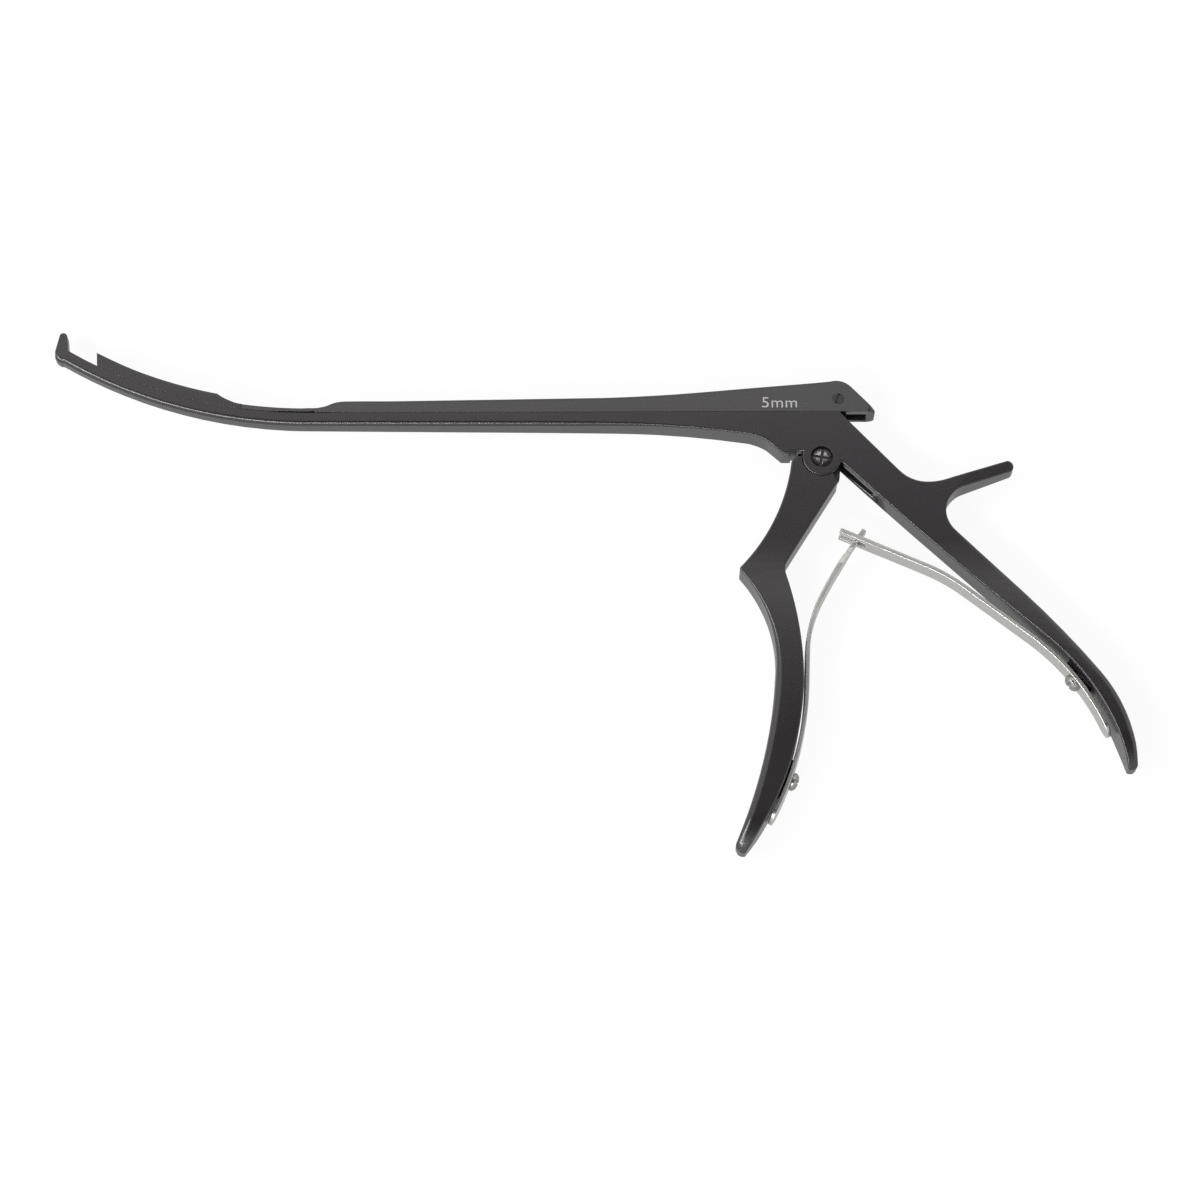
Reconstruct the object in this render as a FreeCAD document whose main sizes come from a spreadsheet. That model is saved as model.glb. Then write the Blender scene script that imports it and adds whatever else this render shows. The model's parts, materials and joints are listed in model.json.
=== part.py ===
import FreeCAD, Part
import Sketcher
import math
import os

# Curved-shaft bone rongeur lying on its side, in millimetres.
# Sketches are drawn from the pivot screw's axis, on the surface the grips rest on.
# The finished pieces' origin is the middle of the whole tool's base.
# +X runs along the shaft towards the handles, +Y from the handles towards the shaft's top, +Z up.

SIZES = {
    # the pivot's place, seen from the middle of the whole tool
    "pivot_x": 57.15,
    "pivot_y": 33.1,
    # plate: the thick rear of the instrument, and the grips that flare below it
    "plate_width": 8.0,
    "grip_width": 11.0,
    "flare_start": 27.0,
    "flare_end": 70.0,
    # shaft: lower half, in one piece with the rear handle
    "shaft_width": 5.0,
    "taper_start": 16.0,
    "taper_end": 172.0,
    "parting_height": 11.7,
    "lower_depth": 3.1,
    "lower_depth_rear": 3.4,
    "rear_depth_at": 50.0,
    "bend_start": 126.0,
    "bend_radius": 116.4,
    # footplate at the tip
    "foot_angle": 30.8,
    "foot_height": 5.0,
    "foot_lean": 0.45,
    "foot_top_thickness": 1.9,
    "foot_thickness": 3.3,
    "heel_drop": 1.5,
    "foot_heel_round": 2.2,
    # underside of the rear block, down to its stop nose
    "belly_x": -18.5,
    "belly_y": 6.0,
    "belly_radius": 226.0,
    "throat_x": -13.2,
    "throat_y": 4.0,
    "throat_radius": 13.1,
    "nose_front_x": -9.7,
    "nose_y": 0.9,
    "nose_back_x": -7.5,
    "nose_notch": 0.6,
    # pivot
    "lobe_radius": 4.8,
    "lobe_gap": 0.15,
    "pivot_shank": 3.4,
    "pivot_head": 5.0,
    "counterbore_gap": 0.2,
    "counterbore_depth": 1.7,
    "head_height": 1.3,
    "head_dome": 0.35,
    "running_gap": 0.05,
    "fit_gap": 0.02,
    # rear handle, inner edge
    "crotch_x": 4.66,
    "crotch_y": -1.15,
    "rear_bow": 1400.0,
    "rear_inner_x": 54.39,
    "rear_inner_y": -46.87,
    "rear_arc_radius": 58.9,
    "rear_end_x": 72.3,
    "rear_end_y": -78.46,
    # rear handle, outer edge from the tip up to the thumb spur
    "rear_tip_x": 74.6,
    "rear_tip_y": -77.4,
    "rear_tip_round": 1.45,
    "knuckle_x": 66.4,
    "knuckle_y": -54.5,
    "knuckle_radius": 38.3,
    "spine_x": 48.2,
    "spine_y": -34.2,
    "spine_radius": 211.0,
    "neck_x": 32.5,
    "neck_y": -18.9,
    "waist_x": 30.1,
    "waist_y": -13.9,
    "waist_radius": 7.2,
    "spur_root_x": 34.6,
    "spur_root_y": -7.5,
    "spur_root_radius": 6.8,
    "spur_under_x": 46.2,
    "spur_under_y": -3.4,
    "spur_top_x": 45.4,
    "spur_top_y": -0.6,
    "spur_tip_round": 1.5,
    "saddle_x": 30.8,
    "saddle_y": -5.5,
    "saddle_radius": 15.0,
    "web_x": 25.3,
    "web_y": -6.35,
    "web_radius": 9.4,
    "back_x": 18.9,
    "back_y": -3.4,
    "shoulder_x": 4.5,
    "spur_width": 5.4,
    "spur_taper_x": 32.4,
    # slide: rear, stiff part of the upper shaft
    "slide_gap": 0.05,
    "slide_front": 124.5,
    "slide_lead": 0.16,
    "slide_lead_start": 116.0,
    "slide_rise_at": 117.2,
    "slide_rise_mid": 120.85,
    "slide_front_height": 3.05,
    "slide_mid_height": 2.2,
    "slide_rise_radius": 8.5,
    "slide_waist_x": -60.0,
    "slide_waist_height": 3.8,
    "slide_ramp_x": -32.0,
    "slide_ramp_height": 5.1,
    "slide_ramp_radius": 400.0,
    "slide_crest_x": 2.4,
    "slide_crest_height": 8.1,
    "slide_crest_radius": 5.2,
    "slide_fall_x": 7.6,
    "slide_fall_y": 18.2,
    "slide_tail_x": 13.3,
    "slide_tail_y": 12.2,
    # T-shaped guide lugs under the slide and the jaw, running in grooves of the lower shaft
    "rail_neck": 1.4,
    "rail_head": 2.6,
    "rail_neck_depth": 0.75,
    "rail_head_depth": 0.7,
    "rail_gap": 0.12,
    "rail_length": 7.0,
    "rail_travel": 8.3,
    "rear_rail_x": 40.0,
    "front_rail_x": 103.0,
    "jaw_rail_angle": 17.0,
    # flexible band and cutting jaw, bent with the shaft
    "band_thickness": 1.2,
    "band_end": 8.2,
    "heel_mid": 9.8,
    "heel_end": 11.4,
    "heel_radius": 6.1,
    "jaw_depth": 3.0,
    "jaw_top_angle": 27.6,
    "jaw_edge_angle": 26.75,
    "cup_width": 3.2,
    "cup_floor": 0.75,
    "cup_depth": 1.5,
    "cup_angle": 3.2,
    # drive: lug of the front handle and the screw that couples it to the slide
    "lug_thickness": 3.0,
    "lug_gap": 0.15,
    "coupling_x": 4.2,
    "coupling_y": 15.05,
    "coupling_screw": 2.7,
    "lug_end_radius": 2.55,
    "lug_boss_radius": 4.9,
    "lug_root_x": 4.4,
    "lug_root_y": -4.7,
    "lug_foot_y": -11.0,
    "pin_play": 0.62,
    "slot_front_x": -6.5,
    "slot_back_x": 6.5,
    "slot_low_front_x": -5.7,
    "slot_run_x": 12.6,
    "slot_run_y": -8.0,
    "slot_run_radius": 3.0,
    "slot_turn_x": 11.0,
    "slot_turn_y": -4.6,
    "slot_web_x": 5.8,
    "slot_web_y": 2.5,
    "slide_slot_front_x": -0.6,
    "slide_slot_back_x": 11.2,
    "slide_slot_top": 18.4,
    # front handle
    "stop_x": -7.45,
    "stop_y": -1.2,
    "stop_top_x": -6.2,
    "stop_top_y": 0.15,
    "cheek_end_x": 2.6,
    "hip_x": 3.7,
    "hip_y": -6.6,
    "valley_top_x": -8.6,
    "valley_top_y": -26.4,
    "valley_x": -9.2,
    "valley_y": -29.8,
    "valley_radius": 4.1,
    "front_belly_radius": 89.0,
    "front_inner_x": -5.26,
    "front_inner_y": -52.01,
    "front_arc_radius": 74.5,
    "front_end_x": -19.66,
    "front_end_y": -99.1,
    "front_tip_x": -21.6,
    "front_tip_y": -96.2,
    "front_tip_round": 1.9,
    "palm_x": -11.9,
    "palm_y": -55.0,
    "palm_radius": 127.5,
    "hook_radius": 34.8,
    "hook_x": -20.11,
    "hook_y": -29.25,
    "hook_round": 0.8,
    "hook_height": 1.08,
    "brow_radius": 48.2,
    "brow_x": -7.6,
    "brow_y": -2.5,
    # leaf springs that push the handles apart
    "leaf_thickness": 1.1,
    "leaf_width": 6.4,
    "front_seat": 0.3,
    "rear_seat": 1.0,
    "seat_width": 4.4,
    "seat_length": 9.0,
    "fork_slot": 3.4,
    "fork_length": 6.0,
    "tongue_width": 2.8,
    "tongue_root": 26.5,
    "tongue_start": 23.0,
    "rear_leaf_tail": 20.8,
    "rear_leaf_lift": 52.4,
    "rear_leaf_run": 19.25,
    "rear_leaf_bend_radius": 45.2,
    "rear_leaf_turn": 14.0,
    "rear_leaf_reach": 22.5,
    "front_leaf_tail": 29.0,
    "front_leaf_lift": -2.0,
    "front_leaf_run": 8.5,
    "front_leaf_bend_radius": 33.0,
    "front_leaf_turn": 24.7,
    "front_leaf_bow_radius": 120.0,
    "front_leaf_bow": 9.85,
    "rear_screw_angle": 36.8,
    "front_screw_angle": 20.0,
    "leaf_screw_head": 4.4,
    "leaf_screw_height": 1.6,
    "leaf_screw_shank": 2.4,
    "leaf_screw_depth": 2.6,
    "slot_width": 0.7,
    "slot_depth": 0.6,
}

doc = FreeCAD.newDocument("Rongeur")
sheet = doc.addObject("Spreadsheet::Sheet", "Sizes")
for row, (name, number) in enumerate(SIZES.items(), start=1):
    sheet.set("A%d" % row, name)
    sheet.set("B%d" % row, str(number))
    sheet.setAlias("B%d" % row, name)
doc.recompute()


class Size:
    """A number together with the formula that gives it from the sheet."""

    def __init__(self, value, text):
        self.value = float(value)
        self.text = text

    def __add__(self, other):
        other = plain(other)
        return Size(self.value + other.value, "(%s + %s)" % (self.text, other.text))

    def __radd__(self, other):
        return plain(other) + self

    def __sub__(self, other):
        other = plain(other)
        return Size(self.value - other.value, "(%s - %s)" % (self.text, other.text))

    def __rsub__(self, other):
        return plain(other) - self

    def __mul__(self, other):
        other = plain(other)
        return Size(self.value * other.value, "(%s * %s)" % (self.text, other.text))

    def __rmul__(self, other):
        return plain(other) * self

    def __truediv__(self, other):
        other = plain(other)
        return Size(self.value / other.value, "(%s / %s)" % (self.text, other.text))

    def __neg__(self):
        return Size(-self.value, "(-%s)" % self.text)


def plain(number):
    """A bare number as a Size."""
    if isinstance(number, Size):
        return number
    return Size(number, "%.6f" % number if number >= 0 else "(%.6f)" % number)


def size(name):
    """The sheet's value of that name."""
    return Size(SIZES[name], "Sizes.%s" % name)


def sine(degrees):
    return Size(math.sin(math.radians(degrees.value)), "sin(%s * 1 deg)" % degrees.text)


def cosine(degrees):
    return Size(math.cos(math.radians(degrees.value)), "cos(%s * 1 deg)" % degrees.text)


def root(number):
    return Size(math.sqrt(number.value), "sqrt(%s)" % number.text)


def spot(name):
    """The named place's two coordinates."""
    return size(name + "_x"), size(name + "_y")


# Heights and places that several pieces share
middle = size("grip_width") / 2
plate_low = middle - size("plate_width") / 2
plate_high = middle + size("plate_width") / 2
parting = size("parting_height")
bend_x = -size("bend_start")
bend_y = parting + size("bend_radius")
slide_base = parting + size("slide_gap")
lobe = size("lobe_radius")


def on_bend(radius, degrees):
    """A point beside the bend's centre: degrees are counted from straight down towards the tip."""
    return bend_x - radius * sine(degrees), bend_y - radius * cosine(degrees)


def around(centre, radius, degrees):
    """A point on a circle, degrees counted anticlockwise from +X."""
    return centre[0] + radius * cosine(degrees), centre[1] + radius * sine(degrees)


def hub_of(first, last, radius):
    """Centre of the arc that turns right from first to last."""
    across, along = last[0] - first[0], last[1] - first[1]
    rise = root(radius * radius / (across * across + along * along) - 0.25)
    return (first[0] + last[0]) / 2 + rise * along, (first[1] + last[1]) / 2 - rise * across


def new_body(label):
    body = doc.addObject("PartDesign::Body", label)
    body.Label = label
    place(body, 0, 0)
    return body


def place(body, x, y):
    """Put the sub-part's own origin at a place counted from the pivot."""
    body.setExpression(".Placement.Base.x", (size("pivot_x") + x).text)
    body.setExpression(".Placement.Base.y", (size("pivot_y") + y).text)


def new_sketch(body, name, role, lift=None):
    """A sketch on one of the body's own origin planes, lifted along that plane's normal."""
    sketch = body.newObject("Sketcher::SketchObject", name)
    plane = [item for item in body.Origin.OriginFeatures if item.Role == role][0]
    sketch.AttachmentSupport = [(plane, "")]
    sketch.MapMode = "FlatFace"
    if lift is not None:
        sketch.setExpression(".AttachmentOffset.Base.z", lift.text)
    return sketch


def pin_point(sketch, geometry, end, x, y):
    """Fix one point of the sketch by its two coordinates, each bound to the sheet."""
    for kind, coordinate in (("DistanceX", x), ("DistanceY", y)):
        coordinate = plain(coordinate)
        index = sketch.addConstraint(Sketcher.Constraint(kind, -1, 1, geometry, end, coordinate.value))
        sketch.setExpression("Constraints[%d]" % index, coordinate.text)


def arc_between(first, last, radius):
    """The short arc from first to last, turning left for a positive radius and right for a negative one."""
    ax, ay, bx, by = first[0], first[1], last[0], last[1]
    chord = math.hypot(bx - ax, by - ay)
    rise = math.sqrt(max(radius * radius - chord * chord / 4, 0.0))
    side = 1 if radius > 0 else -1
    cx = (ax + bx) / 2 - side * rise * (by - ay) / chord
    cy = (ay + by) / 2 + side * rise * (bx - ax) / chord
    start = math.atan2(ay - cy, ax - cx)
    stop = math.atan2(by - cy, bx - cx)
    if side < 0:
        start, stop = stop, start
    if stop < start:
        stop += 2 * math.pi
    circle = Part.Circle(FreeCAD.Vector(cx, cy, 0), FreeCAD.Vector(0, 0, 1), abs(radius))
    return Part.ArcOfCircle(circle, start, stop)


def draw(sketch, corners):
    """Closed outline. A corner is x, y and, for a round stretch to the next corner, its radius."""
    ends = []
    spots = [(plain(corner[0]), plain(corner[1])) for corner in corners]
    for index, corner in enumerate(corners):
        first = (spots[index][0].value, spots[index][1].value)
        after = spots[(index + 1) % len(spots)]
        last = (after[0].value, after[1].value)
        if len(corner) == 2:
            start, stop = FreeCAD.Vector(first[0], first[1], 0), FreeCAD.Vector(last[0], last[1], 0)
            geometry = sketch.addGeometry(Part.LineSegment(start, stop))
            ends.append((geometry, 1, 2))
            continue
        radius = plain(corner[2])
        geometry = sketch.addGeometry(arc_between(first, last, radius.value))
        ends.append((geometry, 1, 2) if radius.value > 0 else (geometry, 2, 1))
        bound = radius if radius.value > 0 else -radius
        index = sketch.addConstraint(Sketcher.Constraint("Radius", geometry, bound.value))
        sketch.setExpression("Constraints[%d]" % index, bound.text)
    for index, (geometry, start, stop) in enumerate(ends):
        following = ends[(index + 1) % len(ends)]
        sketch.addConstraint(Sketcher.Constraint("Coincident", geometry, stop, following[0], following[1]))
        pin_point(sketch, geometry, start, spots[index][0], spots[index][1])


def ring(sketch, x, y, radius):
    """A circle in the sketch."""
    x, y = plain(x), plain(y)
    circle = Part.Circle(FreeCAD.Vector(x.value, y.value, 0), FreeCAD.Vector(0, 0, 1), radius.value)
    geometry = sketch.addGeometry(circle)
    index = sketch.addConstraint(Sketcher.Constraint("Radius", geometry, radius.value))
    sketch.setExpression("Constraints[%d]" % index, radius.text)
    pin_point(sketch, geometry, 3, x, y)


def pad(body, sketch, name, length):
    feature = body.newObject("PartDesign::Pad", name)
    feature.Profile = sketch
    feature.setExpression("Length", length.text)
    doc.recompute()
    return feature


def pocket(body, sketch, name, length, reverse=False):
    """A cut that has to remove something, checked by the volume."""
    before = body.Shape.Volume
    feature = body.newObject("PartDesign::Pocket", name)
    feature.Profile = sketch
    feature.Reversed = reverse
    feature.setExpression("Length", length.text)
    doc.recompute()
    if not body.Shape.Volume < before:
        raise RuntimeError("%s cuts nothing" % name)
    return feature


def round_edges(body, name, radius, wanted):
    """Fillet the edges of the body's last feature whose middle satisfies the test."""
    base = body.Tip
    names = []
    for index, edge in enumerate(base.Shape.Edges, start=1):
        if edge.Length < radius.value / 4:
            continue
        point = edge.valueAt((edge.FirstParameter + edge.LastParameter) / 2)
        if wanted(point, edge):
            names.append("Edge%d" % index)
    if not names:
        raise RuntimeError("%s finds no edge" % name)
    feature = body.newObject("PartDesign::Fillet", name)
    feature.Base = (base, names)
    feature.setExpression("Radius", radius.text)
    doc.recompute()
    return feature


def outline_pad(body, name, corners, low, width):
    """Side outline padded upwards from the height low."""
    sketch = new_sketch(body, name + "_outline", "XY_Plane", low)
    draw(sketch, corners)
    return pad(body, sketch, name, width)


def outline_cut(body, name, corners, low, width):
    """Side outline cut upwards from the height low."""
    sketch = new_sketch(body, name + "_outline", "XY_Plane", low)
    draw(sketch, corners)
    return pocket(body, sketch, name, width, reverse=True)


def thin_shaft(body):
    """Plan view of the shaft: full plate width at the rear, tapering to the bite's width at the tip."""
    reach = size("bend_start") * 2
    start, end = -size("taper_start"), -size("taper_end")
    slim = size("shaft_width") / 2
    beyond = size("grip_width")
    for name, side in (("taper_under", -1), ("taper_over", 1)):
        sketch = new_sketch(body, name + "_outline", "XZ_Plane", size("nose_notch"))
        draw(sketch, [
            (start, middle + side * size("plate_width") / 2),
            (end, middle + side * slim),
            (-reach, middle + side * slim),
            (-reach, middle + side * beyond),
            (start, middle + side * beyond),
        ])
        pocket(body, sketch, name, size("bend_start"))


def flare_grips(body):
    """Side relief: the plate's width above, flaring in one long arc to the grip's width at its tip."""
    swell = (size("grip_width") - size("plate_width")) / 2
    run = size("flare_end") - size("flare_start")
    radius = (run * run / swell + swell) / 2
    reach = size("bend_start") * 2
    top = size("bend_start")
    for name, side, turn in (("relief_under", -1, 1), ("relief_over", 1, -1)):
        sketch = new_sketch(body, name + "_outline", "YZ_Plane", reach)
        draw(sketch, [
            (-size("flare_end"), middle + side * size("grip_width") / 2, turn * radius),
            (-size("flare_start"), middle + side * size("plate_width") / 2),
            (top, middle + side * size("plate_width") / 2),
            (top, middle + side * size("grip_width")),
            (-size("flare_end"), middle + side * size("grip_width")),
        ])
        pocket(body, sketch, name, reach * 2)


def turned(body, name, start, heading, profile, cut=False):
    """A turned shape whose axis lies in the middle plane. Its profile is pairs of run and radius."""
    sketch = new_sketch(body, name + "_profile", "XY_Plane", middle)
    ux, uy = cosine(heading), sine(heading)
    draw(sketch, [(start[0] + ux * run - uy * radius, start[1] + uy * run + ux * radius)
                  for run, radius in profile])
    far = profile[-1][0]
    first, last = profile[0][0], far
    line = Part.LineSegment(
        FreeCAD.Vector((start[0] + ux * first).value, (start[1] + uy * first).value, 0),
        FreeCAD.Vector((start[0] + ux * last).value, (start[1] + uy * last).value, 0))
    axis = sketch.addGeometry(line, True)
    pin_point(sketch, axis, 1, start[0] + ux * first, start[1] + uy * first)
    pin_point(sketch, axis, 2, start[0] + ux * last, start[1] + uy * last)
    before = body.Shape.Volume if cut else 0
    feature = body.newObject("PartDesign::Groove" if cut else "PartDesign::Revolution", name)
    feature.Profile = sketch
    feature.ReferenceAxis = (sketch, ["Axis0"])
    feature.Angle = 360
    doc.recompute()
    if cut and not body.Shape.Volume < before:
        raise RuntimeError("%s cuts nothing" % name)
    return feature


def round_hole(body, name, x, y, radius, low, depth):
    """A hole along the height, cut upwards from low."""
    sketch = new_sketch(body, name + "_outline", "XY_Plane", low)
    ring(sketch, x, y, radius)
    return pocket(body, sketch, name, depth, reverse=True)


def ribbon(start, heading, steps, thickness):
    """Outline of a strip along a path. A step is a length, or a signed radius and the turn in degrees."""
    x, y = start
    left, right = [], []
    for step in steps:
        nx, ny = -sine(heading), cosine(heading)
        left_spot = (x + nx * thickness / 2, y + ny * thickness / 2)
        right_spot = (x - nx * thickness / 2, y - ny * thickness / 2)
        if len(step) == 1:
            left.append((left_spot, None))
            right.append((right_spot, None))
            x, y = x + cosine(heading) * step[0], y + sine(heading) * step[0]
            continue
        radius, turn = step
        left.append((left_spot, radius - thickness / 2))
        right.append((right_spot, radius + thickness / 2))
        cx, cy = x + nx * radius, y + ny * radius
        heading = heading + turn
        x, y = cx + sine(heading) * radius, cy - cosine(heading) * radius
    nx, ny = -sine(heading), cosine(heading)
    corners = [(*spot_, bend) if bend is not None else spot_ for spot_, bend in right]
    corners.append((x - nx * thickness / 2, y - ny * thickness / 2))
    last = (x + nx * thickness / 2, y + ny * thickness / 2)
    for spot_, bend in reversed(left):
        corners.append((*last, -bend) if bend is not None else last)
        last = spot_
    corners.append(last)
    return corners, (x, y), heading


rear_centre = hub_of(spot("rear_inner"), spot("rear_end"), size("rear_arc_radius"))
front_centre = hub_of(spot("front_inner"), spot("front_end"), size("front_arc_radius"))


def seat_block(body, centre, radius, seat, degrees, name):
    """Raised seat under a leaf spring. A negative seat lies on the arc's inner side."""
    half = size("seat_length") / 2 / radius * (180 / math.pi)
    root_radius = radius - seat
    outline_pad(body, name, [
        (*around(centre, root_radius, degrees + half), -root_radius),
        around(centre, root_radius, degrees - half),
        (*around(centre, radius + seat, degrees - half), radius + seat),
        around(centre, radius + seat, degrees + half),
    ], middle - size("seat_width") / 2, size("seat_width"))


def screw_hole(body, centre, surface, degrees, inward, name):
    """Hole for a leaf screw, square to the grip's inner face."""
    start = around(centre, surface, degrees)
    heading = degrees if inward else degrees + 180
    radius = size("leaf_screw_shank") / 2 + size("fit_gap")
    depth = size("leaf_screw_depth")
    turned(body, name, start, heading, [(-size("leaf_thickness"), 0), (-size("leaf_thickness"), radius),
                                        (depth, radius), (depth, 0)], cut=True)


def rail_strip(bent, start, end, top, bottom):
    """Outline of a strip below the parting line, from millimetres of the shaft or degrees of its bend."""
    if not bent:
        return [(-start, parting - top), (-end, parting - top), (-end, parting - bottom),
                (-start, parting - bottom)]
    upper, lower = size("bend_radius") + top, size("bend_radius") + bottom
    return [(*on_bend(upper, start), -upper), on_bend(upper, end), (*on_bend(lower, end), lower),
            on_bend(lower, start)]


def rail_places():
    """Each guide lug: its name, whether it is bent, its rear end and the units of one millimetre."""
    degree = plain(180 / math.pi) / size("bend_radius")
    return [
        ("rear_rail", False, size("rear_rail_x"), plain(1)),
        ("front_rail", False, size("front_rail_x"), plain(1)),
        ("jaw_rail", True, size("jaw_rail_angle"), degree),
    ]


def add_rail(body, wanted):
    """T-shaped lug hanging from the slide or the jaw: a narrow neck and a wide head."""
    neck, head = size("rail_neck_depth"), size("rail_neck_depth") + size("rail_head_depth")
    for name, bent, start, unit in rail_places():
        if name != wanted:
            continue
        end = start + unit * size("rail_length")
        outline_pad(body, name + "_neck", rail_strip(bent, start, end, -size("slide_gap") * 2, neck),
                    middle - size("rail_neck") / 2, size("rail_neck"))
        outline_pad(body, name + "_head", rail_strip(bent, start, end, neck, head),
                    middle - size("rail_head") / 2, size("rail_head"))


def cut_rail_grooves(body):
    """T grooves for the lugs' travel, each with a wide pocket behind it where its lug drops in."""
    gap = size("rail_gap")
    ledge = size("rail_neck_depth") - gap
    floor = size("rail_neck_depth") + size("rail_head_depth") + gap
    neck = size("rail_neck") + gap * 2
    head = size("rail_head") + gap * 2
    for name, bent, start, unit in rail_places():
        back = start - unit * gap
        front = start + unit * (size("rail_length") + size("rail_travel"))
        entry = back - unit * (size("rail_length") + gap * 2)
        outline_cut(body, name + "_neck_groove", rail_strip(bent, back, front, plain(-1), floor),
                    middle - neck / 2, neck)
        outline_cut(body, name + "_head_groove", rail_strip(bent, back, front, ledge, floor),
                    middle - head / 2, head)
        outline_cut(body, name + "_entry", rail_strip(bent, entry, back, plain(-1), floor),
                    middle - head / 2, head)


def build_body():
    """Lower shaft with its footplate, rear block, thumb spur and rear handle, forged in one."""
    body = new_body("body")
    inner, outer = size("bend_radius"), size("bend_radius") + size("lower_depth")
    foot = on_bend(inner, size("foot_angle"))
    foot_top = foot[1] + size("foot_height")
    foot_inner = foot[0] - size("foot_lean")
    heel = on_bend(outer, size("foot_angle") - 0.2)
    roof = size("nose_y") + size("nose_notch")
    outline_pad(body, "forging", [
        foot,
        (foot_inner, foot_top - size("foot_top_thickness") / 2, size("foot_top_thickness") / 2 + size("fit_gap")),
        (foot_inner - size("foot_top_thickness"), foot_top - size("foot_top_thickness") / 2),
        (foot[0] - size("foot_thickness"), foot[1]),
        (foot[0] - size("foot_thickness"), foot[1] - size("heel_drop"), size("foot_heel_round")),
        (*heel, outer),
        (bend_x, parting - size("lower_depth")),
        (-size("rear_depth_at"), parting - size("lower_depth_rear"), -size("belly_radius")),
        (*spot("belly"), -size("throat_radius")),
        spot("throat"),
        (size("nose_front_x"), size("nose_y")),
        (size("nose_back_x"), size("nose_y")),
        (size("nose_back_x"), roof),
        (-root(lobe * lobe - roof * roof), roof, lobe),
        (0, -lobe, lobe),
        (*spot("crotch"), size("rear_bow")),
        (*spot("rear_inner"), -size("rear_arc_radius")),
        (*spot("rear_end"), size("rear_tip_round")),
        (*spot("rear_tip"), size("knuckle_radius")),
        (*spot("knuckle"), size("spine_radius")),
        spot("spine"),
        (*spot("neck"), -size("waist_radius")),
        (*spot("waist"), -size("spur_root_radius")),
        spot("spur_root"),
        (*spot("spur_under"), size("spur_tip_round")),
        spot("spur_top"),
        (*spot("saddle"), -size("saddle_radius")),
        (*spot("web"), -size("web_radius")),
        spot("back"),
        (size("shoulder_x"), parting),
        (bend_x, parting, -inner),
    ], plain(0), size("grip_width"))
    flare_grips(body)
    thin_shaft(body)
    sketch = new_sketch(body, "spur_sides_outline", "XZ_Plane", -size("spur_root_y") + size("spur_tip_round") * 2)
    for side in (-1, 1):
        draw(sketch, [
            (size("spur_taper_x"), middle + side * size("plate_width") / 2),
            (size("spur_under_x"), middle + side * size("spur_width") / 2),
            (size("spur_under_x") * 2, middle + side * size("spur_width") / 2),
            (size("spur_under_x") * 2, middle + side * size("grip_width")),
            (size("spur_taper_x"), middle + side * size("grip_width")),
        ])
    pocket(body, sketch, "spur_sides", size("parting_height") * 2)
    slot = size("lug_thickness") + size("lug_gap") * 2
    outline_cut(body, "lug_slot", [
        (size("slot_front_x"), parting + 1),
        (size("slot_low_front_x"), roof),
        (size("slot_low_front_x"), size("slot_run_y") - 1),
        (size("slot_run_x"), size("slot_run_y") - 1),
        (*spot("slot_run"), size("slot_run_radius")),
        spot("slot_turn"),
        spot("slot_web"),
        (size("slot_back_x"), parting + 1),
    ], middle - slot / 2, slot)
    round_hole(body, "pivot_bore", 0, 0, size("pivot_shank") / 2 + size("fit_gap"), plain(0), size("grip_width"))
    round_hole(body, "counterbore", 0, 0, size("pivot_head") / 2 + size("counterbore_gap"),
               plate_high - size("counterbore_depth"), size("counterbore_depth") * 2)
    cut_rail_grooves(body)
    seat_block(body, rear_centre, size("rear_arc_radius"), -size("rear_seat"), size("rear_screw_angle"), "leaf_seat")
    screw_hole(body, rear_centre, size("rear_arc_radius") - size("rear_seat"), size("rear_screw_angle"), True,
               "leaf_screw_hole")
    return body


def build_slide():
    """Rear, stiff part of the upper shaft, slotted from below for the front handle's lug."""
    body = new_body("slide")
    front = -size("slide_front")
    outline_pad(body, "slide_bar", [
        (front, slide_base + size("slide_lead")),
        (-size("slide_lead_start"), slide_base),
        (size("slide_tail_x") - size("fit_gap"), slide_base),
        spot("slide_tail"),
        (*spot("slide_fall"), size("slide_crest_radius")),
        (size("slide_crest_x"), parting + size("slide_crest_height")),
        (size("slide_ramp_x"), parting + size("slide_ramp_height"), -size("slide_ramp_radius")),
        (size("slide_waist_x"), parting + size("slide_waist_height")),
        (-size("slide_rise_at"), parting + size("slide_front_height"), size("slide_rise_radius")),
        (-size("slide_rise_mid"), parting + size("slide_mid_height"), -size("slide_rise_radius")),
        (front, slide_base + size("band_thickness")),
    ], plate_low, size("plate_width"))
    thin_shaft(body)
    slot = size("lug_thickness") + size("lug_gap") * 2
    outline_cut(body, "lug_slot", [
        (size("slide_slot_front_x"), parting - 1),
        (size("slide_slot_back_x"), parting - 1),
        (size("slide_slot_back_x"), slide_base + 1),
        (size("slide_slot_back_x") - 3, size("slide_slot_top")),
        (size("slide_slot_front_x"), size("slide_slot_top")),
    ], middle - slot / 2, slot)
    round_hole(body, "coupling_bore", *spot("coupling"), size("coupling_screw") / 2 + size("fit_gap"),
               plain(0), size("grip_width"))
    add_rail(body, "rear_rail")
    add_rail(body, "front_rail")
    return body


def build_band():
    """Thin flexible band between the stiff slide and the cutting jaw, bent with the shaft."""
    body = new_body("flex_band")
    low = size("bend_radius") - size("slide_gap")
    high = low - size("band_thickness")
    outline_pad(body, "band", [
        (-size("slide_front"), slide_base + size("band_thickness")),
        (*on_bend(high, plain(0)), -high),
        on_bend(high, size("band_end")),
        (*on_bend(low, size("band_end")), low),
        on_bend(low, plain(0)),
        (-size("slide_front"), slide_base + size("slide_lead")),
    ], plate_low, size("plate_width"))
    thin_shaft(body)
    return body


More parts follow.
